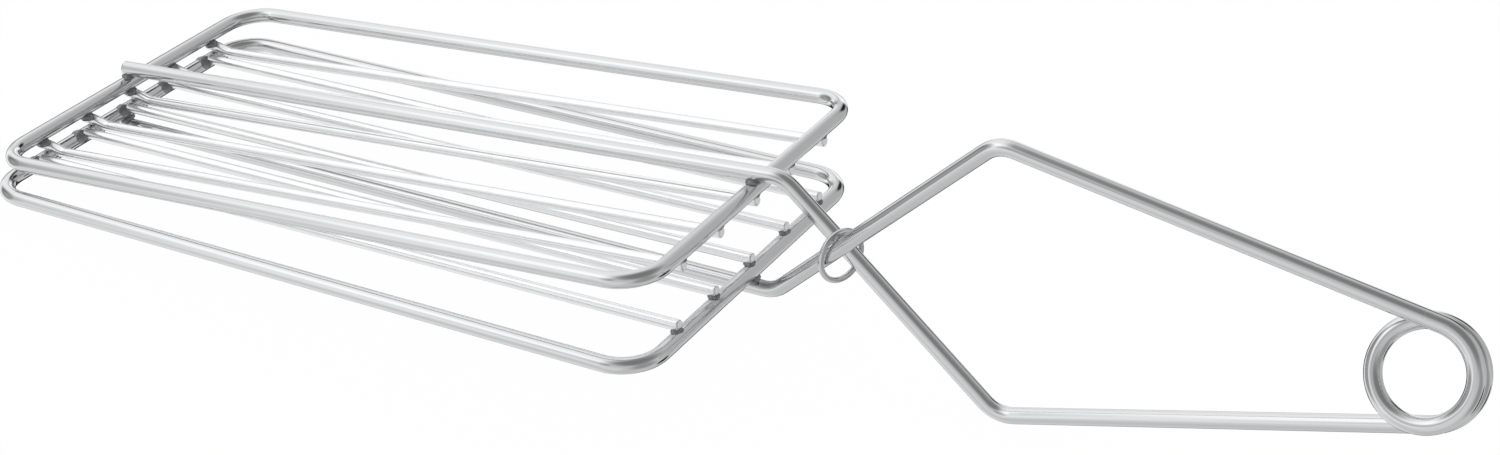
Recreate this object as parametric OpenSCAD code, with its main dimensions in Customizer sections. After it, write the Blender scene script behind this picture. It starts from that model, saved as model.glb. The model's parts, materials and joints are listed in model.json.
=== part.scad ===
// Wire toasting tongs: two wire grids on one crossed, sprung wire handle.
// Everything is drawn level first, with x from the tip bars toward the coil, y away from the viewer and z
// up, and z = 0 halfway between the jaws. The lower frame is the upper one after half a turn about the x axis,
// and so are the arms; only the grid wires of the two jaws differ. At the end the whole is pitched, so that it
// lies on a table.

/* [Jaws] */
// Length of a jaw frame, between the middles of its end bars
jaw_length = 200; // [180:1:220]
// Width of a jaw frame, between the middles of its side bars
jaw_width = 102; // [92:1:116]
// Diameter of the frame wire
frame_wire = 4; // [3.4:0.1:4.6]
// Radius of the frame's corners, to the middle of the wire
frame_corner = 10; // [6:0.5:16]
// Distance between the two frames at the heel, middle to middle
heel_gap = 20.5; // [17:0.5:26]
// Air between the upper grid wires and the lower tip bar when the jaws are shut
shut_air = 0.3; // [0.2:0.05:0.8]

/* [Grid wires] */
// Diameter of a grid wire
grid_wire = 2.8; // [2.2:0.1:3.2]
// Distance between neighbouring grid wires
grid_pitch = 17; // [15:0.5:18]
// How far an upper grid wire's end runs past the middle of the tip bar that it lies on
grid_tip_end = 2; // [1:0.1:3]
// How far a grid wire's end runs past the middle of the heel bar
grid_heel_end = 0.5; // [0:0.1:4]
// How much further into the jaw an upper grid wire lies behind its kink at the tip
grid_dip = 1.6; // [0.4:0.1:2]
// Where the kink starts, behind the middle of the tip bar
kink_start = 1; // [0.8:0.1:4]
// Length of the kink
kink_length = 5; // [4:0.1:8]
// Height of a lower grid wire over its frame's plane at the tip bar, whose flank it meets end on
butt_height = 1.7; // [1.2:0.1:2.2]
// Air left at a weld between two wires
weld_air = 0.05; // [0.02:0.01:0.2]

/* [Arms] */
// Diameter of the arm wire
arm_wire = 4; // [3.4:0.1:4.4]
// How far an arm's end runs past the middle of the tip bar
arm_tip_end = 0.5; // [0.2:0.1:8]
// Air between the two arms where they cross
arm_air = 0.3; // [0.2:0.05:0.8]
// Distance from the heel bars to the crossing
cross_reach = 23; // [21:0.5:30]
// Distance from the crossing to the handle's upper corner, along the tongs
corner_reach = 43; // [38:0.5:50]
// Height of the handle's upper corner above the crossing
corner_height = 36.5; // [32:0.5:42]
// How much nearer to the crossing the lower corner lies: the handle is bent by hand and a little uneven
corner_skew = 4; // [0:0.5:5]
// How much further from the crossing's level the lower corner lies
corner_sink = 1.5; // [0:0.1:2]
// Radius of the handle's corners, to the middle of the wire
corner_bend = 8; // [6:0.5:12]
// Radius of the arms' bends behind the heel bars, to the middle of the wire
heel_bend = 8; // [6:0.5:10]

/* [Coil] */
// Distance from the handle's upper corner to the middle of the coil, along the tongs
coil_reach = 96.3; // [85:0.5:110]
// Diameter of the coil, to the middle of the wire
coil_d = 22.2; // [20:0.1:26]
// Advance of the coil in one turn
coil_pitch = 6.6; // [5.4:0.1:8]
// Angle that the coil turns through between its two straight ends
coil_turn = 515; // [505:1:525]
// Tilt of the coil's axis, far end down
coil_tilt = 28; // [18:0.5:32]
// Air between the coil's end and the arm that moves
coil_air = 0.2; // [0.1:0.05:0.4]

/* [Crossing ring] */
// Outer diameter of the ring
ring_od = 13.8; // [13.2:0.1:16]
// Diameter of the ring's wire
ring_wire = 1.4; // [1.1:0.1:1.6]
// How far the ring hangs below the crossing
ring_drop = 2; // [1.6:0.1:2.3]
// How far the ring lies past the crossing
ring_ahead = 0.6; // [0.2:0.05:0.8]
// Turn of the ring about the upright, far side toward the coil
ring_yaw = 22; // [10:1:27]

/* [Hidden] */
$fn = 48;
chrome = [0.80, 0.81, 0.82];
wires_per_jaw = 5;
coil_rings = 24;
coil_sides = 6;
// A bent wire is a hair thicker in its bends, and its straight stretches run a little way into them
bend_swell = 0.04;
run_in = 0.2;

// Distance from a frame's plane to the middle of a wire laid on it
grid_offset = (frame_wire + grid_wire) / 2 + weld_air;
arm_offset = (frame_wire + arm_wire) / 2 + weld_air;
// How far behind the tip bar's middle a lower grid wire ends on the bar's flank
butt_reach = sqrt(pow(frame_wire / 2, 2) - pow(max(butt_height - grid_wire / 2, 0), 2)) + weld_air;
// Half the distance between the two frames at the tip: the upper grid wires stop on the lower tip bar
tip_half = (grid_offset + (frame_wire + grid_wire) / 2 + shut_air) / 2;
jaw_angle = asin((heel_gap / 2 - tip_half) / jaw_length);
// How far each arm lies to its side of the middle
side = (arm_wire + arm_air) / 2;

// A point of the upper jaw, seen from the side: along the frame, and outward from its plane
function on_jaw(along, out) = [
    along * cos(jaw_angle) - out * sin(jaw_angle),
    tip_half + along * sin(jaw_angle) + out * cos(jaw_angle)];

cross_x = jaw_length + cross_reach;
coil_x = cross_x + corner_reach + coil_reach;

// Corners of an arm that is welded on the upper jaw: along the frame, down through the crossing behind the
// heel bar, and on to the handle's corner. The lower jaw's arm is such an arm after half a turn.
arm_start = on_jaw(-arm_tip_end, arm_offset);
arm_rise = tan(jaw_angle);
arm_level = arm_start.y - arm_rise * arm_start.x;
function arm_path(reach, depth) =
    let (slope = depth / reach, heel_x = (slope * cross_x - arm_level) / (slope + arm_rise))
    [[arm_start.x, side, arm_start.y],
        [heel_x, side, arm_level + arm_rise * heel_x],
        [cross_x + reach, side, -depth]];
upper_arm = arm_path(corner_reach - corner_skew, corner_height + corner_sink);
lower_arm = arm_path(corner_reach, corner_height);

// The coil, as a rule for its middle line: the angle is counted from the top, clockwise from the front
coil_axis = [0, cos(coil_tilt), -sin(coil_tilt)];
coil_top = [0, sin(coil_tilt), cos(coil_tilt)];
coil_mean = [coil_x, 0, 0];
first_angle = 270 - coil_turn / 2;
last_angle = 270 + coil_turn / 2;
coil_steps = round(coil_rings * coil_turn / 360);
function coil_at(angle) = coil_mean
    + coil_d / 2 * (sin(angle) * [1, 0, 0] + cos(angle) * coil_top)
    + coil_pitch * (angle - 270) / 360 * coil_axis;

// Half a turn about the x axis, which swaps the jaws
function turned(p) = [p.x, -p.y, -p.z];

// An arm's last stretch leads to the coil's end, a little out of plane, and stops short of it
coil_last = coil_at(last_angle);
function arm_end(path, short) = coil_last - short * unit(coil_last - path[2]);

// Corner rules: a wire comes from a, turns at b with bend radius r to its middle, and goes on to c
function unit(v) = v / norm(v);
function turn_of(a, b, c) = atan2(norm(cross(unit(b - a), unit(c - b))), unit(b - a) * unit(c - b));
function reach_of(a, b, c, r) = r * tan(turn_of(a, b, c) / 2);
function elbow_start(a, b, c, r) = b - reach_of(a, b, c, r) * unit(b - a);
function elbow_end(a, b, c, r) = b + reach_of(a, b, c, r) * unit(c - b);
function elbow_normal(a, b, c) = unit(cross(b - a, c - b));
function elbow_middle(a, b, c, r) = elbow_start(a, b, c, r)
    + r * cross(elbow_normal(a, b, c), unit(b - a));

// Where the tongs touch the table: the lower arm's end and the round of the lower handle corner
tip_edge = on_jaw(-arm_tip_end, arm_offset + arm_wire / 2);
touch_tip = [tip_edge.x, -tip_edge.y];
bow_middle = elbow_middle(upper_arm[1], upper_arm[2], coil_last, corner_bend);
touch_run = [bow_middle.x, bow_middle.z] - touch_tip;
touch_reach = (corner_bend + (arm_wire + bend_swell) / 2) / norm(touch_run);
pitch = atan2(touch_run.y, touch_run.x) - asin(touch_reach);

// A flat point after the pitch, with the touching tip at the origin
function pitched(p) = [
    (p.x - touch_tip.x) * cos(pitch) + (p.y - touch_tip.y) * sin(pitch),
    (p.y - touch_tip.y) * cos(pitch) - (p.x - touch_tip.x) * sin(pitch)];
// The foremost point is on an arm's end, on the upper tip bar or on an upper grid wire's end
low_x = min(pitched(tip_edge).x, pitched(on_jaw(0, 0)).x - frame_wire / 2,
    pitched(on_jaw(-grid_tip_end, grid_wire / 2 - grid_offset)).x);
high_x = max([for (p = coil_points()) pitched([p.x, p.z]).x]);
middle_x = (low_x + high_x) / 2;

// Middle line of the coil with its straight ends, and the tube round it
function coil_route() = concat(
    [turned(arm_end(lower_arm, arm_wire))],
    [for (i = [0 : coil_steps]) coil_at(first_angle + coil_turn * i / coil_steps)],
    [arm_end(upper_arm, arm_wire)]);
function route_dir(route, i) = unit(route[min(i + 1, len(route) - 1)] - route[max(i - 1, 0)]);
function tube_ring(p, dir, d) =
    let (up = unit(cross(dir, coil_axis)), over = cross(dir, up))
    [for (k = [0 : coil_sides - 1])
        p + d / 2 * (cos(360 * k / coil_sides) * up + sin(360 * k / coil_sides) * over)];
function coil_points() =
    let (route = coil_route())
    [for (i = [0 : len(route) - 1]) each tube_ring(route[i], route_dir(route, i), arm_wire)];
function coil_faces() =
    let (n = coil_sides, last = (len(coil_route()) - 1) * n)
    concat(
        [for (k = [1 : n - 2]) [0, k, k + 1]],
        [for (i = [0 : len(coil_route()) - 2]) for (k = [0 : n - 1]) each [
            [i * n + k, (i + 1) * n + k, (i + 1) * n + (k + 1) % n],
            [i * n + k, (i + 1) * n + (k + 1) % n, i * n + (k + 1) % n]]],
        [for (k = [1 : n - 2]) [last, last + k + 1, last + k]]);

// Least air between two turns of the coil, on points a quarter turn or more apart
coil_gap = min([for (i = [0 : coil_steps]) for (j = [i + coil_rings / 4 : coil_steps])
    norm(coil_at(first_angle + coil_turn * i / coil_steps)
        - coil_at(first_angle + coil_turn * j / coil_steps))]) - arm_wire;
echo(coil_gap = coil_gap);
echo(pitch = pitch, middle_x = middle_x, touch_tip = touch_tip, jaw_angle = jaw_angle, tip_half = tip_half);
echo(upper_arm = upper_arm, lower_arm = lower_arm, coil_last = coil_last);

// Lays the level tongs on the table, with the middle of their outer size over the origin
module on_table() {
    translate([-middle_x, 0, 0])
        rotate([0, pitch, 0])
            translate([-touch_tip.x, 0, -touch_tip.y])
                children();
}

// Half a turn about the x axis, which makes the lower jaw and its arm
module half_turn() {
    rotate([180, 0, 0]) children();
}

// Turns the z axis to a direction in space
module pointed(dir) {
    rotate([0, acos(dir.z), atan2(dir.y, dir.x)]) children();
}

// A round wire along a path in space, its inner corners bent to the radii in the list
module bent_wire(path, bends, d) {
    last = len(path) - 1;
    for (i = [0 : last - 1]) {
        dir = unit(path[i + 1] - path[i]);
        from = i == 0 ? path[0]
            : elbow_end(path[i - 1], path[i], path[i + 1], bends[i - 1]) - run_in * dir;
        to = i == last - 1 ? path[last]
            : elbow_start(path[i], path[i + 1], path[i + 2], bends[i]) + run_in * dir;
        translate(from) pointed(dir) cylinder(d = d, h = norm(to - from));
    }
    for (i = [1 : last - 1]) {
        elbow(path[i - 1], path[i], path[i + 1], bends[i - 1], d + bend_swell);
    }
}

// One bend of a wire: part of a ring, from the stretch a to b to the stretch b to c
module elbow(a, b, c, r, d) {
    normal = elbow_normal(a, b, c);
    middle = elbow_middle(a, b, c, r);
    out = elbow_start(a, b, c, r) - middle;
    tilt = acos(normal.z);
    swing = atan2(normal.y, normal.x);
    flat_x = [cos(tilt) * cos(swing), cos(tilt) * sin(swing), -sin(tilt)];
    flat_y = [-sin(swing), cos(swing), 0];
    translate(middle)
        rotate([0, tilt, swing])
            rotate([0, 0, atan2(out * flat_y, out * flat_x)])
                rotate_extrude(angle = turn_of(a, b, c))
                    translate([r, 0]) circle(d = d);
}

// The upper jaw's own place: its frame lies in the xy plane of the children
module upper_place() {
    translate([0, side, tip_half])
        rotate([0, -jaw_angle, 0])
            children();
}

// A closed rectangular frame of wire: four bars, and a bend at each corner
module jaw_frame() {
    half = jaw_width / 2;
    corners = [[0, -half, 0], [jaw_length, -half, 0], [jaw_length, half, 0], [0, half, 0]];
    upper_place() {
        for (i = [0 : 3]) {
            before = corners[(i + 3) % 4];
            here = corners[i];
            next = corners[(i + 1) % 4];
            dir = unit(next - here);
            bar = norm(next - here) - 2 * frame_corner + 2 * run_in;
            translate(here + (frame_corner - run_in) * dir) pointed(dir) cylinder(d = frame_wire, h = bar);
            elbow(before, here, next, frame_corner, frame_wire + bend_swell);
        }
    }
}

// Place of a grid wire across its jaw, counted from one side bar to the other
function across_at(number) = (number - (wires_per_jaw + 1) / 2) * grid_pitch;

// A grid wire of the upper jaw: kinked behind the tip bar, then straight to the heel bar
module kinked_wire(number) {
    across = across_at(number);
    kink_end = kink_start + kink_length;
    rise = grid_dip / (jaw_length - kink_end);
    path = [
        [-grid_tip_end, across, -grid_offset],
        [kink_start, across, -grid_offset],
        [kink_end, across, -grid_offset - grid_dip],
        [jaw_length + grid_heel_end, across, -grid_offset + rise * grid_heel_end]];
    upper_place() bent_wire(path, [2 * grid_wire, 2 * grid_wire], grid_wire);
}

// A grid wire of the lower jaw, in the upper jaw's place: straight from the tip bar's flank to the heel bar
module straight_wire(number) {
    across = across_at(number);
    climb = (grid_offset - butt_height) / (jaw_length - butt_reach);
    from = [butt_reach, across, -butt_height];
    to = [jaw_length + grid_heel_end, across, -grid_offset - climb * grid_heel_end];
    upper_place() translate(from) pointed(unit(to - from)) cylinder(d = grid_wire, h = norm(to - from));
}

// An arm from its cut end on the upper jaw to the coil, where it stops short by a given length
module jaw_arm(path, short) {
    bent_wire(concat(path, [arm_end(path, short)]), [heel_bend, corner_bend], arm_wire);
}

module upper_frame() {
    color(chrome) on_table() jaw_frame();
}

module lower_frame() {
    color(chrome) on_table() half_turn() jaw_frame();
}

module upper_grid_wire(number) {
    color(chrome) on_table() kinked_wire(number);
}

// After half a turn the near wire of a jaw is its far wire
module lower_grid_wire(number) {
    color(chrome) on_table() half_turn() straight_wire(wires_per_jaw + 1 - number);
}

module upper_jaw_arm() {
    color(chrome) on_table() jaw_arm(upper_arm, arm_wire + coil_air);
}

module lower_jaw_arm() {
    color(chrome) on_table() half_turn() jaw_arm(lower_arm, arm_wire);
}

module spring_coil() {
    color(chrome) on_table() polyhedron(points = coil_points(), faces = coil_faces());
}

module crossing_ring() {
    color(chrome)
        on_table()
            translate([cross_x + ring_ahead, 0, -ring_drop])
                rotate([0, 90, -ring_yaw])
                    rotate_extrude()
                        translate([(ring_od - ring_wire) / 2, 0]) circle(d = ring_wire);
}

lower_frame();
upper_frame();
lower_grid_wire(1);  // lower_grid_wire_1
lower_grid_wire(2);  // lower_grid_wire_2
lower_grid_wire(3);  // lower_grid_wire_3
lower_grid_wire(4);  // lower_grid_wire_4
lower_grid_wire(5);  // lower_grid_wire_5
upper_grid_wire(1);  // upper_grid_wire_1
upper_grid_wire(2);  // upper_grid_wire_2
upper_grid_wire(3);  // upper_grid_wire_3
upper_grid_wire(4);  // upper_grid_wire_4
upper_grid_wire(5);  // upper_grid_wire_5
lower_jaw_arm();
upper_jaw_arm();
spring_coil();
crossing_ring();
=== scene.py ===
# %% [markdown]
# # Wire toasting tongs
#
# The object is nothing but wire: two rectangular frames with five grid wires each, and one long wire that
# makes both arms, crosses itself and ends in a coil. So one idea carries the whole scene: a round wire is
# a circle carried along a path. The construction already fixes where every wire runs. Here each one gets
# its true round surface, its cut ends, its welds and its bright finish.

import json
import math

import bmesh
import bpy
import numpy as np
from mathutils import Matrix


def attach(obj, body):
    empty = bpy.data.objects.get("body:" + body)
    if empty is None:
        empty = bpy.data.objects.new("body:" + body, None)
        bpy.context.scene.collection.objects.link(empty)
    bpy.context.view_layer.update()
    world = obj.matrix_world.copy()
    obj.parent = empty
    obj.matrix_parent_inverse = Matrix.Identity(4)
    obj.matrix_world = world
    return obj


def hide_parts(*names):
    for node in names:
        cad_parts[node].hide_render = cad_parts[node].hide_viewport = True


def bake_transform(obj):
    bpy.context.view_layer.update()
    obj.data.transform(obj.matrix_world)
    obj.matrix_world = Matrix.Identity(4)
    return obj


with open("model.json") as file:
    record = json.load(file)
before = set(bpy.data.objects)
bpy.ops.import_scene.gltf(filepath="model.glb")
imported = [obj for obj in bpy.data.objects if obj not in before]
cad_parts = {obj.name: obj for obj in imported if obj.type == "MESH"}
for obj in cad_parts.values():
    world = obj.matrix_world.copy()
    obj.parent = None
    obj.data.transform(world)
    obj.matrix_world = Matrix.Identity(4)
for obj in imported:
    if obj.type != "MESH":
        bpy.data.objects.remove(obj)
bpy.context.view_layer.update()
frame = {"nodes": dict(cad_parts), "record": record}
print("nodes:", len(frame["nodes"]))

# %% [markdown]
# ## Sizes
#
# The sizes are the construction's own, in millimetres. The tongs are easiest to describe lying level,
# with x from the tips toward the coil, y away from the viewer and z up, and with z = 0 halfway between
# the jaws. Seen so, the lower frame and the lower arm are the upper ones after half a turn about the x
# axis. Only the grid wires of the two jaws differ.

# %% Sizes of the level tongs, in millimetres
MM = 0.001

# A jaw from wire middle to wire middle, and the distance between the middles of the two heel bars.
JAW_LENGTH, JAW_WIDTH, HEEL_GAP = 200.0, 102.0, 20.5

# The wires, and the radius of each kind of bend to the wire's middle.
FRAME_WIRE, GRID_WIRE, ARM_WIRE, RING_WIRE = 4.0, 2.8, 4.0, 1.4
FRAME_CORNER, HEEL_BEND, HANDLE_BEND, GRID_BEND = 10.0, 8.0, 8.0, 5.6

# The grid, how far its wires reach past the end bars' middles, the kink of the upper ones, and how far
# over the middle of the tip bar the lower ones meet it.
GRID_COUNT, GRID_PITCH = 5, 17.0
GRID_TIP_END, GRID_HEEL_END, GRID_DIP = 2.0, 0.5, 1.6
KINK_START, KINK_LENGTH, BUTT_HEIGHT = 1.0, 5.0, 1.7

# Air at the welds, between the shut jaws and between the arms, and how much thicker a bent wire is made.
WELD_AIR, SHUT_AIR, ARM_AIR, BEND_SWELL = 0.05, 0.3, 0.3, 0.04

# The arms, each measured on from the last place, and how much nearer and deeper the lower handle corner
# lies.
ARM_TIP_END, CROSS_REACH, CORNER_REACH, CORNER_HEIGHT, COIL_REACH = 0.5, 23.0, 43.0, 36.5, 96.3
CORNER_SKEW, CORNER_SINK = 4.0, 1.5

# The coil and the ring, both to scale from the photograph.
COIL_D, COIL_PITCH, COIL_TURN, COIL_TILT = 22.2, 6.6, math.radians(515), math.radians(28)
RING_OD, RING_DROP, RING_AHEAD, RING_YAW = 13.8, 2.0, 0.6, math.radians(22)
print(f"jaws {JAW_LENGTH:.0f} by {JAW_WIDTH:.0f} mm, of {FRAME_WIRE} and {GRID_WIRE} mm wire")

# %% Values that follow from them
grid_offset = (FRAME_WIRE + GRID_WIRE) / 2 + WELD_AIR
arm_offset = (FRAME_WIRE + ARM_WIRE) / 2 + WELD_AIR
butt_reach = math.sqrt((FRAME_WIRE / 2) ** 2 - max(BUTT_HEIGHT - GRID_WIRE / 2, 0) ** 2) + WELD_AIR
tip_half = (grid_offset + (FRAME_WIRE + GRID_WIRE) / 2 + SHUT_AIR) / 2
jaw_angle = math.asin((HEEL_GAP / 2 - tip_half) / JAW_LENGTH)
side = (ARM_WIRE + ARM_AIR) / 2
cross_x = JAW_LENGTH + CROSS_REACH
coil_x = cross_x + CORNER_REACH + COIL_REACH
print(f"jaws open by {2 * math.degrees(jaw_angle):.2f} degrees at rest, coil at x = {coil_x:.1f} mm")

# %% [markdown]
# ## Places in the jaw and in space
#
# A jaw's own flat coordinates are the distance along it from the tip bar, the distance across it, and the
# distance out of its plane. One function takes them to the level tongs. Another turns the upper half of
# the tongs into the lower half.


# %% From a jaw to the level tongs
def on_jaw(points):
    """Upper jaw to level tongs: a turn by the jaw's angle about y, then a shift up and to its side."""
    along, across, out = np.asarray(points, float).T
    c, s = math.cos(jaw_angle), math.sin(jaw_angle)
    return np.stack([along * c - out * s, side + across, tip_half + along * s + out * c], 1)


def half_turn(points):
    """Half a turn about the x axis: y and z change sign."""
    return np.asarray(points, float) * [1, -1, -1]


TO_HALF = {"upper": lambda points: points, "lower": half_turn}
print("middle of the upper heel bar:", on_jaw([[JAW_LENGTH, 0, 0]])[0].round(2))

# %% [markdown]
# ## Bends
#
# A bent wire is a row of straight stretches with an arc at each inner corner. The arc that fits a corner
# starts r tan(t/2) before it, where t is the turn, and its middle lies r to the inside. Points lie a step
# apart on a straight stretch, and four times as close on an arc, where the shape needs them.


# %% The arc at a corner
def arc(a, b, c, r):
    """Start, end, middle and turn of the arc of radius r that rounds the corner b between a and c."""
    u, v = (b - a) / np.linalg.norm(b - a), (c - b) / np.linalg.norm(c - b)
    turn = math.acos(float(np.clip(u @ v, -1, 1)))
    reach = r * math.tan(turn / 2)
    inward = (v - u * (u @ v)) / math.sin(turn)
    start = b - reach * u
    return start, b + reach * v, start + r * inward, turn


sample = arc(*np.array([[0.0, 0.0], [50.0, 0.0], [50.0, 50.0]]), FRAME_CORNER)
print("a frame's arc at (50, 0) starts at", sample[0], "and ends at", sample[1])

# %% A whole bent path
ARC_FINENESS = 4


def stretch(start, end, step, endpoint):
    """Points of a straight stretch, about a step apart, with or without its last one."""
    count = max(2, math.ceil(np.linalg.norm(end - start) / step))
    return np.linspace(start, end, count, endpoint=endpoint)


def bent_path(corners, bends, step):
    """Points along a wire: straight stretches, and at each inner corner the arc
    middle + r (-inward cos s + u sin s), with s from 0 to the turn and at least 3 points."""
    corners = np.asarray(corners, float)
    pieces, at = [], corners[0]
    for a, b, c, r in zip(corners, corners[1:], corners[2:], bends):
        start, end, middle, turn = arc(a, b, c, r)
        s = np.linspace(0, turn, max(3, math.ceil(turn * r / (step / ARC_FINENESS))))[:, None]
        u = (b - a) / np.linalg.norm(b - a)
        pieces.append(stretch(at, start, step, endpoint=False))
        pieces.append((middle + (start - middle) * np.cos(s) + r * u * np.sin(s))[:-1])
        at = end
    pieces.append(stretch(at, corners[-1], step, endpoint=True))
    return np.concatenate(pieces)


def path_length(path):
    """Sum of the distances from each point of a path to the next."""
    return np.linalg.norm(np.diff(path, axis=0), axis=1).sum()


elbow = bent_path([[0, 0, 0], [50, 0, 0], [50, 50, 0]], [FRAME_CORNER], 1.0)
print(f"100 mm round a square corner takes {path_length(elbow):.1f} mm of wire")

# %% [markdown]
# ## The coil
#
# The coil is a helix of about one turn and a half. Its axis runs across the tongs with the far end low,
# and its two ends leave it toward the handle. The angle is counted from the top, clockwise from the
# front.

# %% Middle line of the coil
COIL_HALF_WAY = math.radians(270)
coil_middle = np.array([coil_x, 0, 0])
coil_axis = np.array([0, math.cos(COIL_TILT), -math.sin(COIL_TILT)])
coil_top = np.array([0, math.sin(COIL_TILT), math.cos(COIL_TILT)])


def coil_at(angle):
    """Helix: middle + r (sin a, cos a) in the plane square to the axis, and pitch a / 2 pi along it."""
    angle = np.asarray(angle, float)[..., None]
    flat = np.sin(angle) * [1, 0, 0] + np.cos(angle) * coil_top
    climb = COIL_PITCH * (angle - COIL_HALF_WAY) / (2 * math.pi) * coil_axis
    return coil_middle + COIL_D / 2 * flat + climb


coil_last = coil_at(COIL_HALF_WAY + COIL_TURN / 2)
print("the coil's far end is at", coil_last.round(2))

# %% [markdown]
# ## The arms, and how the tongs lie
#
# An arm lies along the middle of its jaw's frame, bends down behind the heel bar, passes the other arm
# and turns back at the handle's corner. The lower jaw's arm is such an arm after half a turn. The handle
# is bent by hand, so its two corners aren't quite alike: the lower one lies a little nearer and a little
# deeper. The tongs lie on the table on two points: the cut end of the lower arm, and the round of the
# lower handle corner. The line that touches both gives the pitch.


# %% Corners of an arm
def arm_path(reach, depth):
    """Start over the tip bar, bend where the line along the jaw meets the line through the crossing and the
    handle's corner, the corner itself, and the end, one wire's width short of the coil's last point."""
    start = on_jaw([[-ARM_TIP_END, 0, arm_offset]])[0]
    slope, rise = depth / reach, math.tan(jaw_angle)
    level = start[2] - rise * start[0]
    heel_x = (slope * cross_x - level) / (slope + rise)
    corner = np.array([cross_x + reach, side, -depth])
    last_dir = (coil_last - corner) / np.linalg.norm(coil_last - corner)
    heel = [heel_x, side, level + rise * heel_x]
    return np.array([start, heel, corner, coil_last - ARM_WIRE * last_dir])


arm_corners = {"upper": arm_path(CORNER_REACH - CORNER_SKEW, CORNER_HEIGHT + CORNER_SINK),
               "lower": arm_path(CORNER_REACH, CORNER_HEIGHT)}
print("corners of the upper jaw's arm:", arm_corners["upper"].round(1).tolist())

# %% The table: pitch and shift
# The bow is the outside of the lower handle corner's bend, which belongs to the upper jaw's arm.
touch_tip = half_turn(on_jaw([[-ARM_TIP_END, 0, arm_offset + ARM_WIRE / 2]]))[0]
bow_middle = arc(*arm_corners["upper"][1:3], coil_last, HANDLE_BEND)[2]
bow = HANDLE_BEND + (ARM_WIRE + BEND_SWELL) / 2
run = bow_middle - touch_tip
pitch = math.atan2(run[2], run[0]) - math.asin(bow / math.hypot(run[0], run[2]))
eye = np.array([m["pos_m"] for m in frame["record"]["mounts"] if m["name"] == "hanging_eye"][0])


def on_table(points):
    """Level millimetres to metres on the table: a turn by the pitch about the coil's middle, which the
    construction's hanging eye places."""
    x, y, z = (np.asarray(points, float) - coil_middle).T
    c, s = math.cos(pitch), math.sin(pitch)
    return eye + MM * np.stack([x * c + z * s, y, z * c - x * s], -1)


print(f"pitch {math.degrees(pitch):.3f} degrees, lowest point {on_table([touch_tip])[0][2] / MM:.3f} mm")

# %% [markdown]
# ## A wire's surface
#
# A circle is carried along the path, square to it. At each path point two directions are needed across
# the wire. Every wire here is flat or nearly so, so its own flat normal gives them without any twist: u
# is the normal crossed with the direction of the path, and v is that direction crossed with u.
#
# A cut end is a flat disc with a small round edge. It is made from the same rings, which draw in at the
# end. One full ring stands just before the edge, so that the smooth shading of the wire runs straight up
# to it.

# %% Rings along a path
SIDES = 28
EDGE, BEFORE_EDGE, EDGE_STEPS = 0.35, 0.15, 5
DISC_RING = 0.5  # a ring halfway across the flat of a cut end


def unit(vectors):
    """Each vector divided by its length."""
    return vectors / np.linalg.norm(vectors, axis=-1, keepdims=True)


def closed_rings(path, radius):
    """Middle, direction and radius of each ring on a closed path, directions by central differences."""
    path = np.asarray(path, float)
    return path, unit(np.roll(path, -1, 0) - np.roll(path, 1, 0)), np.full(len(path), radius)


def cut_end(point, out, radius, edge):
    """Rings of a cut end: one of full width, a quarter round of radius edge, and the disc to its middle."""
    a = np.linspace(0, math.pi / 2, EDGE_STEPS)
    back = np.concatenate([[edge + BEFORE_EDGE], edge * (1 - np.sin(a)), [0, 0]])
    width = np.concatenate([[radius], radius - edge * (1 - np.cos(a)), [DISC_RING * radius, 0]])
    return point - back[:, None] * out, width


def open_rings(path, radius, start_edge, end_edge):
    """Middle, direction and radius of each ring on an open path, with a cut end at either end."""
    path = np.asarray(path, float)
    t = unit(np.gradient(path, axis=0))
    tail, tail_width = cut_end(path[-1], t[-1], radius, end_edge)
    head, head_width = cut_end(path[0], -t[0], radius, start_edge)
    middle = np.concatenate([head[::-1], path[1:-1], tail])
    along = np.concatenate([np.repeat(t[:1], len(head), 0), t[1:-1], np.repeat(t[-1:], len(tail), 0)])
    return middle, along, np.concatenate([head_width[::-1], np.full(len(path) - 2, radius), tail_width])


print(f"{SIDES} points round a wire, {EDGE_STEPS + 3} rings on a cut end")

# %% [markdown]
# The rings' points become one mesh. Each point also keeps its place in the wire, in millimetres: how far
# along it lies, and where across. The finish reads that place, so its drawing marks follow every bend.


# %% From rings to faces and places
def grid_faces(rows, columns, rows_closed):
    """Quads between neighbouring rings. The columns always close, and the rows close on a ring of wire."""
    i = np.arange(rows if rows_closed else rows - 1)[:, None]
    j = np.arange(columns)[None, :]
    below, above = i * columns, (i + 1) % rows * columns
    beside = (j + 1) % columns
    return np.stack([below + j, below + beside, above + beside, above + j], -1).reshape(-1, 4)


def wire_arrays(rings, normal, closed=False):
    """Surface point = middle + radius (u cos a + v sin a), with u = normal x t and v = t x u across the
    wire's direction t, and a round it. Returns points, faces and each point's place (along, u, v)."""
    path, t, width = rings
    u = unit(np.cross(normal, t))
    v = np.cross(t, u)
    a = np.linspace(0, 2 * math.pi, SIDES, endpoint=False)
    spoke = np.cos(a)[None, :, None] * u[:, None] + np.sin(a)[None, :, None] * v[:, None]
    points = path[:, None] + width[:, None, None] * spoke
    along = np.concatenate([[0], np.cumsum(np.linalg.norm(np.diff(path, axis=0), axis=1))])
    place = np.stack([
        np.repeat(along[:, None], SIDES, 1), width[:, None] * np.cos(a), width[:, None] * np.sin(a)], -1)
    return points.reshape(-1, 3), grid_faces(len(path), SIDES, closed), place.reshape(-1, 3)


print("faces between 3 rings of 4 points:", len(grid_faces(3, 4, False)))

# %% From arrays to an object
MERGE_BELOW = 0.000001  # metres, a thousandth of a millimetre


def close_poles(mesh):
    """Merges points that fall together, so that a cut end closes at its middle, and turns faces outward."""
    work = bmesh.new()
    work.from_mesh(mesh)
    bmesh.ops.remove_doubles(work, verts=work.verts, dist=MERGE_BELOW)
    bmesh.ops.recalc_face_normals(work, faces=work.faces)
    work.to_mesh(mesh)
    work.free()


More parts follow.
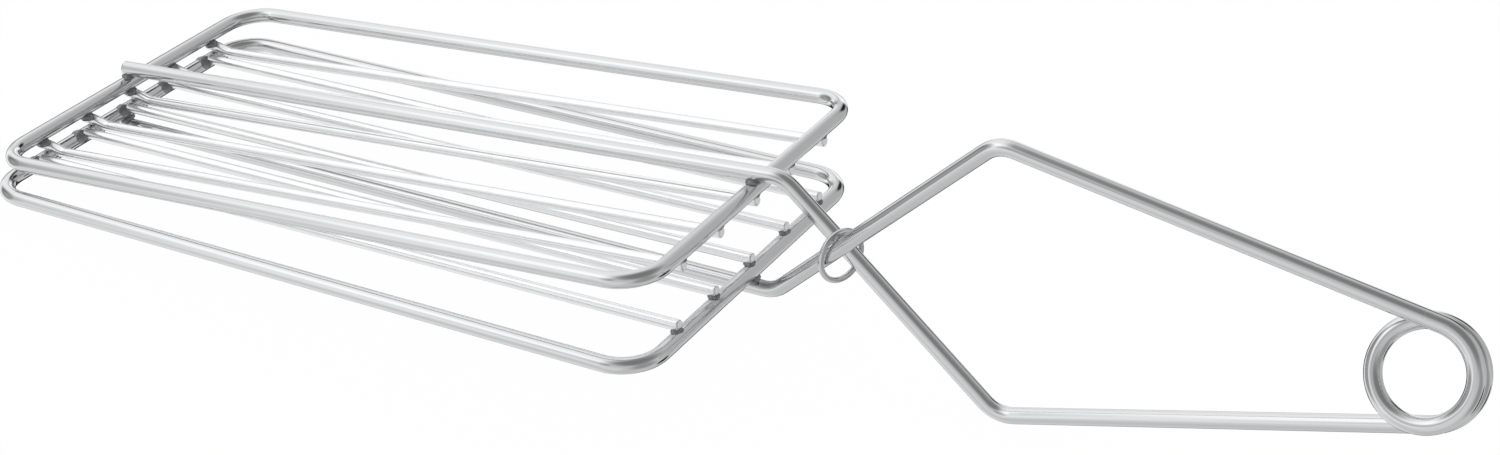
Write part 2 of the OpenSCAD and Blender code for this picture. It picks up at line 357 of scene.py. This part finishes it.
def make_piece(name, arrays, material, body, replaces=()):
    """One smooth object from triples of points in level millimetres, faces and places. It rides on a body,
    unless that is None, and stands for the nodes that it replaces."""
    shift = np.cumsum([0] + [len(points) for points, _, _ in arrays])
    points = on_table(np.concatenate([points for points, _, _ in arrays]))
    faces = np.concatenate([faces + first for (_, faces, _), first in zip(arrays, shift)])
    mesh = bpy.data.meshes.new(name)
    mesh.from_pydata(points, [], faces)
    place = mesh.attributes.new("wire_place", "FLOAT_VECTOR", "POINT")
    place.data.foreach_set("vector", np.concatenate([at for _, _, at in arrays]).astype(np.float32).ravel())
    piece = bpy.data.objects.new(name, mesh)
    bpy.context.scene.collection.objects.link(piece)
    close_poles(mesh)
    mesh.polygons.foreach_set("use_smooth", np.ones(len(mesh.polygons), bool))
    mesh.materials.append(material)
    if replaces:
        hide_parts(*replaces)
    if body:
        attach(piece, body)
    return piece


# %% [markdown]
# ## Bright chromed wire
#
# The wire is cold-drawn mild steel, bent, welded and then bright chrome plated. Drawing leaves fine lines
# along the wire, and the plating keeps a trace of them: they blur a reflection across the wire far less
# than along it. So the finish is a smooth metal whose roughness and bump come from a noise that is
# stretched along the wire. It reads the place that each point keeps in its wire.


# %% Colours and nodes
def srgb(code):
    """Linear colour of an sRGB hex code, by the standard's own straight foot and power of 2.4."""
    value = np.array([int(code[i:i + 2], 16) for i in (1, 3, 5)]) / 255
    linear = np.where(value <= 0.04045, value / 12.92, ((value + 0.055) / 1.055) ** 2.4)
    return (*linear.tolist(), 1.0)


def add_node(tree, kind, settings=None, inputs=None):
    """Adds a node, sets its properties, and gives each named input a value or a link from a socket."""
    node = tree.nodes.new(kind)
    for key, value in (settings or {}).items():
        setattr(node, key, value)
    for key, value in (inputs or {}).items():
        if isinstance(value, bpy.types.NodeSocket):
            tree.links.new(value, node.inputs[key])
        else:
            node.inputs[key].default_value = value
    return node


def new_metal(name):
    """An empty metal: the material, its node tree, its shader and the socket with the place in the wire."""
    material = bpy.data.materials.new(name)
    material.use_nodes = True
    tree = material.node_tree
    shader = tree.nodes["Principled BSDF"]
    shader.inputs["Metallic"].default_value = 1.0
    place = add_node(tree, "ShaderNodeAttribute", {"attribute_name": "wire_place"})
    return material, tree, shader, place.outputs["Vector"]


print("linear value of mid grey:", round(srgb("#808080")[0], 3))

# %% The chromed wire
# Real drawing lines are a few hundredths of a millimetre wide. They are drawn a quarter of a millimetre
# wide, because finer ones couldn't show even in a close render.
LINE_WIDTH, LINE_LENGTH = 0.25, 25.0
LINE_DEPTH, LINE_STRENGTH = 0.02 * MM, 0.12
CLOUDS_PER_MM, CLOUD_RANGE = 0.12, (0.3, 0.7)
BRIGHTEST, DULLEST = 0.8, 1.25


def chromed_wire(name, colour, roughness):
    """Chrome over drawn wire: lines a quarter of a millimetre wide and 25 mm long, and faint cloudiness
    8 mm wide, in which the roughness goes from 0.8 to 1.25 times its middle value."""
    material, tree, shader, place = new_metal(name)
    shader.inputs["Base Color"].default_value = srgb(colour)
    lines_at = add_node(tree, "ShaderNodeMapping", inputs={
        "Vector": place, "Scale": (1 / LINE_LENGTH, 1 / LINE_WIDTH, 1 / LINE_WIDTH)})
    lines = add_node(tree, "ShaderNodeTexNoise", inputs={
        "Vector": lines_at.outputs["Vector"], "Scale": 1.0, "Detail": 2.0, "Roughness": 0.5})
    cloud = add_node(tree, "ShaderNodeTexNoise", inputs={
        "Vector": place, "Scale": CLOUDS_PER_MM, "Detail": 3.0, "Roughness": 0.6})
    rough = add_node(tree, "ShaderNodeMapRange", inputs={
        "Value": cloud.outputs["Fac"], "From Min": CLOUD_RANGE[0], "From Max": CLOUD_RANGE[1],
        "To Min": roughness * BRIGHTEST, "To Max": roughness * DULLEST})
    bump = add_node(tree, "ShaderNodeBump", inputs={
        "Strength": LINE_STRENGTH, "Distance": LINE_DEPTH, "Height": lines.outputs["Fac"]})
    tree.links.new(rough.outputs["Result"], shader.inputs["Roughness"])
    tree.links.new(bump.outputs["Normal"], shader.inputs["Normal"])
    return material


bar_chrome = chromed_wire("bright_chrome_on_bar_wire", "#D6D7D8", 0.10)
# The grid wires carry the same plating as the frames. Their lighter colour is painted light that brightens
# their grey reflections.
grid_chrome_painted_lighter = chromed_wire("chrome_on_grid_wire_painted_lighter", "#EEEFF0", 0.22)
ring_chrome = chromed_wire("bright_chrome_on_ring_wire", "#CFD0D1", 0.14)
print("finishes:", ", ".join(m.name for m in (bar_chrome, grid_chrome_painted_lighter, ring_chrome)))

# %% [markdown]
# A resistance weld squeezes a little collar of molten steel out between two wires. It is scaled and
# pitted, so the plating on it stays dull and grey. Its grey is also made darker than that, as painted
# shade where two wires meet. Pits of a few tenths of a millimetre come from a noise in the collar's own
# place.

# %% The welds' finish
PIT_WIDTH, PIT_DEPTH, PIT_STRENGTH = 0.4, 0.1 * MM, 0.6
LIGHTEST = 1.8  # how many times lighter the rims of the pits are than their hollows
HOLLOW_ROUGH, RIM_ROUGH = 1.3, 0.7


def dull_weld(name, colour, roughness):
    """Dull grey plating with pits 0.4 mm wide, darker and rougher in the hollows."""
    material, tree, shader, place = new_metal(name)
    pits = add_node(tree, "ShaderNodeTexNoise", inputs={
        "Vector": place, "Scale": 1 / PIT_WIDTH, "Detail": 3.0, "Roughness": 0.6})
    dark = srgb(colour)
    light = (*(min(1.0, LIGHTEST * value) for value in dark[:3]), 1.0)
    tone = add_node(tree, "ShaderNodeMix", {"data_type": "RGBA"}, {
        "Factor": pits.outputs["Fac"], "A": dark, "B": light})
    rough = add_node(tree, "ShaderNodeMapRange", inputs={
        "Value": pits.outputs["Fac"], "To Min": roughness * HOLLOW_ROUGH, "To Max": roughness * RIM_ROUGH})
    bump = add_node(tree, "ShaderNodeBump", inputs={
        "Strength": PIT_STRENGTH, "Distance": PIT_DEPTH, "Height": pits.outputs["Fac"]})
    tree.links.new(tone.outputs["Result"], shader.inputs["Base Color"])
    tree.links.new(rough.outputs["Result"], shader.inputs["Roughness"])
    tree.links.new(bump.outputs["Normal"], shader.inputs["Normal"])
    return material


# The weld's dark grey is partly the dull scaled plating and partly painted shade where the wires meet.
weld_metal_and_painted_shade = dull_weld("dull_weld_and_painted_shade", "#7A7C7E", 0.40)
print("finish of the welds:", weld_metal_and_painted_shade.name)

# %% [markdown]
# ## The frames
#
# Each jaw's frame is one wire bent to a rectangle. Its path is closed, so its rings close too, and there
# is no end. The butt weld in the middle of the tip bar is dressed flush before plating.

# %% Both frames
FRAME_STEP = 4.0


def frame_path():
    """A closed rectangle in the jaw's plane, with an arc at each corner, from the middle of the tip bar."""
    half, middle = JAW_WIDTH / 2, [0, 0, 0]
    corners = [middle, [0, -half, 0], [JAW_LENGTH, -half, 0], [JAW_LENGTH, half, 0], [0, half, 0], middle]
    return on_jaw(bent_path(corners, [FRAME_CORNER] * 4, FRAME_STEP)[:-1])


jaw_normal = np.array([-math.sin(jaw_angle), 0, math.cos(jaw_angle)])
frame_line = frame_path()
for half_name, to_half in TO_HALF.items():
    rings = closed_rings(to_half(frame_line), FRAME_WIRE / 2)
    make_piece(f"frame_wire_{half_name}", [wire_arrays(rings, to_half(jaw_normal), closed=True)],
               bar_chrome, f"{half_name}_jaw", [f"{half_name}_frame"])
print("frame path:", len(frame_line), "rings of", SIDES, "points")

# %% [markdown]
# ## The grid wires
#
# Five thinner wires lie inside each frame. Those of the upper jaw are welded under both end bars, and
# just behind the tip bar each is kinked further into the jaw. Those of the lower jaw are straight: each
# meets the flank of its tip bar end on, and lies on top of the heel bar. All ends are cropped.

# %% Lines of the grid wires
GRID_STEP, STRAIGHT_RINGS = 3.0, 60
ACROSS = np.array([0, 1, 0])


def across_at(number):
    """Place of a grid wire across its jaw."""
    return (number - (GRID_COUNT + 1) / 2) * GRID_PITCH


def kinked_line(number):
    """Middle line of a grid wire of the upper jaw."""
    across, kink_end = across_at(number), KINK_START + KINK_LENGTH
    back = GRID_DIP / (JAW_LENGTH - kink_end) * GRID_HEEL_END
    corners = [[-GRID_TIP_END, across, -grid_offset], [KINK_START, across, -grid_offset],
               [kink_end, across, -grid_offset - GRID_DIP],
               [JAW_LENGTH + GRID_HEEL_END, across, -grid_offset + back]]
    return on_jaw(bent_path(corners, [GRID_BEND] * 2, GRID_STEP))


def straight_line(number):
    """Middle line of a grid wire of the lower jaw. The half turn reverses the count across the jaw."""
    across = across_at(GRID_COUNT + 1 - number)
    climb = (grid_offset - BUTT_HEIGHT) / (JAW_LENGTH - butt_reach) * GRID_HEEL_END
    ends = [[butt_reach, across, -BUTT_HEIGHT],
            [JAW_LENGTH + GRID_HEEL_END, across, -grid_offset - climb]]
    return half_turn(on_jaw(np.linspace(*ends, STRAIGHT_RINGS)))


print("places across the jaw:", [across_at(number) for number in range(1, GRID_COUNT + 1)])

# %% Ten grid wires
for half_name, line in (("upper", kinked_line), ("lower", straight_line)):
    for number in range(1, GRID_COUNT + 1):
        rings = open_rings(line(number), GRID_WIRE / 2, EDGE, EDGE)
        make_piece(f"grid_wire_{half_name}_{number}", [wire_arrays(rings, ACROSS)],
                   grid_chrome_painted_lighter, f"{half_name}_jaw", [f"{half_name}_grid_wire_{number}"])
print("grid wires:", 2 * GRID_COUNT)

# %% [markdown]
# ## The arms and the coil
#
# On the real tongs these are one wire. Here the two arms ride on their jaws, and the coil between them
# is one fixed piece that rides on neither. Where arm and coil meet, both end in the same flat ring, so
# the joint doesn't show.

# %% The two arms
ARM_STEP = 4.0
FLAT = 0.02  # the edge of an end that meets another one face to face
for half_name, to_half in TO_HALF.items():
    arm_line = bent_path(arm_corners[half_name], [HEEL_BEND, HANDLE_BEND], ARM_STEP)
    rings = open_rings(to_half(arm_line), ARM_WIRE / 2, EDGE, FLAT)
    make_piece(f"arm_wire_{half_name}_jaw", [wire_arrays(rings, ACROSS)],
               bar_chrome, f"{half_name}_jaw", [f"{half_name}_jaw_arm"])
    print(f"{half_name} arm: {path_length(arm_line):.0f} mm of wire")

# %% [markdown]
# The coil is a helix between the ends of the two arms. It is one fixed piece, on neither jaw.

# %% The coil
COIL_RINGS = 140
turns = np.linspace(COIL_HALF_WAY - COIL_TURN / 2, COIL_HALF_WAY + COIL_TURN / 2, COIL_RINGS)
coil_line = np.concatenate([
    [half_turn(arm_corners["lower"][-1])], coil_at(turns), [arm_corners["upper"][-1]]])
rings = open_rings(coil_line, ARM_WIRE / 2, FLAT, FLAT)
coil = make_piece("spring_coil_wire", [wire_arrays(rings, coil_axis)], bar_chrome, None,
                  ["spring_coil"])
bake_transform(coil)
print(f"coil: {COIL_TURN / (2 * math.pi):.2f} turns, {COIL_D + ARM_WIRE:.1f} mm outside")

# %% [markdown]
# ## The welds
#
# Every crossing of two wires has its weld collar, a small uneven cushion between them. The lower jaw's
# grid wires meet their tip bar end on, so there the collar is larger, goes all round the wire's end and
# has run down to the near side.

# %% The form of a collar
COLLAR_RINGS, COLLAR_SIDES = 14, 24
WAVES = ((0.08, 3, 1.0), (0.06, 5, 2.3))  # height, number round the collar, share of the seed


def collar(middle, half_sizes, seed):
    """Uneven cushion: middle + half sizes (sin p cos q, sin p sin q, cos p) (1 + w), where w is the square
    of sin p times the sum of height sin(number q + share seed) over the waves."""
    p = np.linspace(0, math.pi, COLLAR_RINGS)[:, None]
    q = np.linspace(0, 2 * math.pi, COLLAR_SIDES, endpoint=False)[None, :]
    wave = sum(height * np.sin(number * q + share * seed) for height, number, share in WAVES)
    swell = 1 + np.sin(p) ** 2 * wave
    round_out = np.stack([np.sin(p) * np.cos(q), np.sin(p) * np.sin(q), np.cos(p) + 0 * q], -1)
    points = (np.asarray(middle) + swell[..., None] * round_out * half_sizes).reshape(-1, 3)
    return points, grid_faces(COLLAR_RINGS, COLLAR_SIDES, False), points.copy()


print("points on a collar:", len(collar([0, 0, 0], [1, 1, 1], 0)[0]))

# %% Weld collars
# Each row gives the middle of a collar, along from its bar, across from its wire and out of the jaw's
# plane, and its three half sizes.
UNDER_TIP_BAR = (0.4, -1.1, -2.5), (1.9, 1.9, 1.1)
ON_TIP_BAR = (0.7, 1.2, -0.7), (2.4, 2.3, 1.9)
UNDER_HEEL_BAR = (-0.4, 0.0, -2.0), (1.5, 1.6, 0.8)
ARM_ON_TIP_BAR = (0.4, 0.0, 2.0), (1.9, 2.4, 1.1)
ARM_ON_HEEL_BAR = (0.0, 0.3, 2.0), (2.3, 2.6, 1.2)
SEED_STEP = 1.7


def jaw_welds(tip_collar):
    """Collars of one jaw: each grid wire at the tip and the heel, and the arm on both end bars."""
    wires = [across_at(number) for number in range(1, GRID_COUNT + 1)]
    spots = ([(0.0, across, tip_collar) for across in wires]
             + [(JAW_LENGTH, across, UNDER_HEEL_BAR) for across in wires]
             + [(0.0, 0.0, ARM_ON_TIP_BAR), (JAW_LENGTH, 0.0, ARM_ON_HEEL_BAR)])
    return [collar(np.array([bar, across, 0.0]) + shift, half_sizes, SEED_STEP * i)
            for i, (bar, across, (shift, half_sizes)) in enumerate(spots)]


for half_name, tip_collar in (("upper", UNDER_TIP_BAR), ("lower", ON_TIP_BAR)):
    arrays = [(TO_HALF[half_name](on_jaw(points)), faces, place)
              for points, faces, place in jaw_welds(tip_collar)]
    make_piece(f"welds_{half_name}_jaw", arrays, weld_metal_and_painted_shade, f"{half_name}_jaw")
    print(f"{half_name} jaw: {len(arrays)} welds")

# %% [markdown]
# ## The crossing ring
#
# A small closed ring hangs loose round the crossing and keeps the arms side by side. It is a circle of
# thin wire, turned a little about the upright.

# %% The ring
RING_STEPS = 72
round_angle = np.linspace(0, 2 * math.pi, RING_STEPS, endpoint=False)[:, None]
ring_across = np.array([math.sin(RING_YAW), math.cos(RING_YAW), 0])
ring_radius = (RING_OD - RING_WIRE) / 2
ring_line = (np.array([cross_x + RING_AHEAD, 0, -RING_DROP])
             + ring_radius * (np.cos(round_angle) * ring_across + np.sin(round_angle) * [0, 0, 1]))
ring_normal = np.cross(ring_across, [0, 0, 1])
arrays = [wire_arrays(closed_rings(ring_line, RING_WIRE / 2), ring_normal, closed=True)]
make_piece("crossing_ring_wire", arrays, ring_chrome, "ring", ["crossing_ring"])
print(f"ring: {RING_OD} mm outside")

# %% [markdown]
# ## Floor, backdrop and light
#
# The photograph is taken on blown-out white, and bright metal shows what is round it. So the floor and
# the world are white to the camera, and what the metal mirrors is a studio: light grey walls, a few large
# soft lights, and dark cards where a wire needs an edge. Without the cards a chromed wire would be as
# white as the floor, and its shape would be lost. The tongs lie as on a light table, a clear sheet that
# glows from below: the floor lets a mirrored ray through to the studio, and keeps the tongs' shadow for
# the camera.

# %% The floor
FLOOR_HALF, FLOOR_DEPTH = 6.0, 0.0002  # metres, and just under the tongs
GLOW = 0.98  # the glow's share of what the camera sees, and the rest shows the shadow
WHITE = srgb("#FFFFFF")
floor_mesh = bpy.data.meshes.new("floor")
floor_mesh.from_pydata([(x * FLOOR_HALF, y * FLOOR_HALF, -FLOOR_DEPTH)
                        for x, y in ((-1, -1), (1, -1), (1, 1), (-1, 1))], [], [(0, 1, 2, 3)])
floor = bpy.data.objects.new("floor", floor_mesh)
bpy.context.scene.collection.objects.link(floor)
light_table = bpy.data.materials.new("white_light_table")
light_table.use_nodes = True
tree = light_table.node_tree
tree.nodes.clear()
ray = add_node(tree, "ShaderNodeLightPath")
sheet = add_node(tree, "ShaderNodeBsdfDiffuse", inputs={"Color": srgb("#F2F2F2")})
glow = add_node(tree, "ShaderNodeEmission", inputs={"Color": WHITE, "Strength": 1.0})
clear = add_node(tree, "ShaderNodeBsdfTransparent")
glow_share = add_node(tree, "ShaderNodeMath", {"operation": "MULTIPLY"}, {
    0: ray.outputs["Is Camera Ray"], 1: GLOW})
seen = add_node(tree, "ShaderNodeMixShader", inputs={
    0: glow_share.outputs[0], 1: sheet.outputs[0], 2: glow.outputs[0]})
both = add_node(tree, "ShaderNodeMixShader", inputs={
    0: ray.outputs["Is Glossy Ray"], 1: seen.outputs[0], 2: clear.outputs[0]})
add_node(tree, "ShaderNodeOutputMaterial", inputs={"Surface": both.outputs[0]})
floor_mesh.materials.append(light_table)
print("floor:", 2 * FLOOR_HALF, "m square")

# %% [markdown]
# Each light or card is a round patch of the studio: a direction, the angle within which it is full, the
# angle at which it is gone, and how much it adds to the walls. A card takes light away, so its strength
# is negative. Directions are compass bearings from +Y, which lies behind the tongs, toward +X, on their
# right, and heights above the horizon, all in degrees.

# %% Lights and cards of the studio
WALLS, DARKEST = 0.72, 0.02
PLAIN = 0.9  # the even light on what isn't metal, such as the floor
STUDIO = [  # bearing, height, full within, gone past, strength
    (-87, 22, 27, 68, 0.43),     # large soft light on the left
    (-130, 17, 6, 49, 0.38),     # fill light, front left
    (-24, -5, 20, 27, 1.18),     # lamp low behind, on the left
    (-87, -36, 15, 59, 0.27),    # glow of the table on the left
    (-179, -15, 7, 35, 0.17),    # low light in front
    (27, 13, 18, 47, -0.14),     # shaded wall behind, on the right
    (-32, -18, 13, 45, -1.13),   # dark card behind the table
    (58, -32, 10, 16, -0.76),    # dark card low on the right
    (118, 63, 15, 55, -0.46),    # shaded ceiling, front right
    (-107, 5, 14, 38, -1.11),    # dark card on the left, before the soft light
    (-157, 24, 5, 21, -0.44),    # small dark card, front left
    (111, -6, 9, 37, -0.32),     # shaded wall on the right
    (-7, -51, 3, 16, -0.80),     # dark strip under the far edge of the table
    (6, 19, 4, 19, -0.65),       # dark card behind the tongs
]
print("studio:", len(STUDIO), "lights and cards")

# %% The world, which is white to the camera and a studio to the metal
world = bpy.data.worlds.new("studio")
bpy.context.scene.world = world
world.use_nodes = True
sky = world.node_tree
sky.nodes.clear()
coords = add_node(sky, "ShaderNodeTexCoord")
ray = add_node(sky, "ShaderNodeLightPath")


def patch(bearing, height, inner, outer, strength):
    """A round patch of light: smoothstep of the cosine between the ray and the patch's direction."""
    b, h = math.radians(bearing), math.radians(height)
    toward = (math.sin(b) * math.cos(h), math.cos(b) * math.cos(h), math.sin(h))
    near = add_node(sky, "ShaderNodeVectorMath", {"operation": "DOT_PRODUCT"}, {
        0: coords.outputs["Generated"], 1: toward})
    return add_node(sky, "ShaderNodeMapRange", {"interpolation_type": "SMOOTHSTEP"}, {
        "Value": near.outputs["Value"], "From Min": math.cos(math.radians(outer)),
        "From Max": math.cos(math.radians(inner)), "To Min": 0.0, "To Max": strength}).outputs["Result"]


def white_light(strength):
    """White light whose strength is a number, or a socket that gives one for each direction."""
    return add_node(sky, "ShaderNodeBackground", inputs={"Color": WHITE, "Strength": strength}).outputs[0]


studio = WALLS
for row in STUDIO:
    studio = add_node(sky, "ShaderNodeMath", {"operation": "ADD"}, {0: patch(*row), 1: studio}).outputs[0]
studio = add_node(sky, "ShaderNodeMath", {"operation": "MAXIMUM"}, {0: studio, 1: DARKEST}).outputs[0]
on_objects = add_node(sky, "ShaderNodeMixShader", inputs={
    0: ray.outputs["Is Glossy Ray"], 1: white_light(PLAIN), 2: white_light(studio)})
whole = add_node(sky, "ShaderNodeMixShader", inputs={
    0: ray.outputs["Is Camera Ray"], 1: on_objects.outputs[0], 2: white_light(1.0)})
add_node(sky, "ShaderNodeOutputWorld", inputs={"Surface": whole.outputs[0]})
print("nodes of the world:", len(sky.nodes))

# %% [markdown]
# ## Camera
#
# The camera stands over the handle, on the near side, and looks down along the tongs. Its place, its turn
# and its lens were worked out from where the bars' ends fall in the photograph.

# %% The camera
CAMERA_AT = (0.25660, -0.44567, 0.34440)
AZIMUTH, ELEVATION, ROLL = math.radians(28.726), math.radians(31.573), math.radians(1.879)
LENS, SENSOR = 59.76, 36.0
camera_data = bpy.data.cameras.new("camera")
camera_data.lens, camera_data.sensor_width = LENS, SENSOR
camera = bpy.data.objects.new("camera", camera_data)
bpy.context.scene.collection.objects.link(camera)
forward = np.array([-math.sin(AZIMUTH) * math.cos(ELEVATION), math.cos(AZIMUTH) * math.cos(ELEVATION),
                    -math.sin(ELEVATION)])
level_right = np.array([math.cos(AZIMUTH), math.sin(AZIMUTH), 0])
level_up = np.cross(level_right, forward)
right = level_right * math.cos(ROLL) + level_up * math.sin(ROLL)
up = np.cross(right, forward)
turn = np.eye(4)
turn[:3, 0], turn[:3, 1], turn[:3, 2], turn[:3, 3] = right, up, -forward, CAMERA_AT
camera.matrix_world = [list(column) for column in turn.T]
bpy.context.scene.camera = camera
bpy.context.scene.view_settings.view_transform = "Standard"
print("camera", [round(v, 3) for v in camera.location], "lens", LENS)
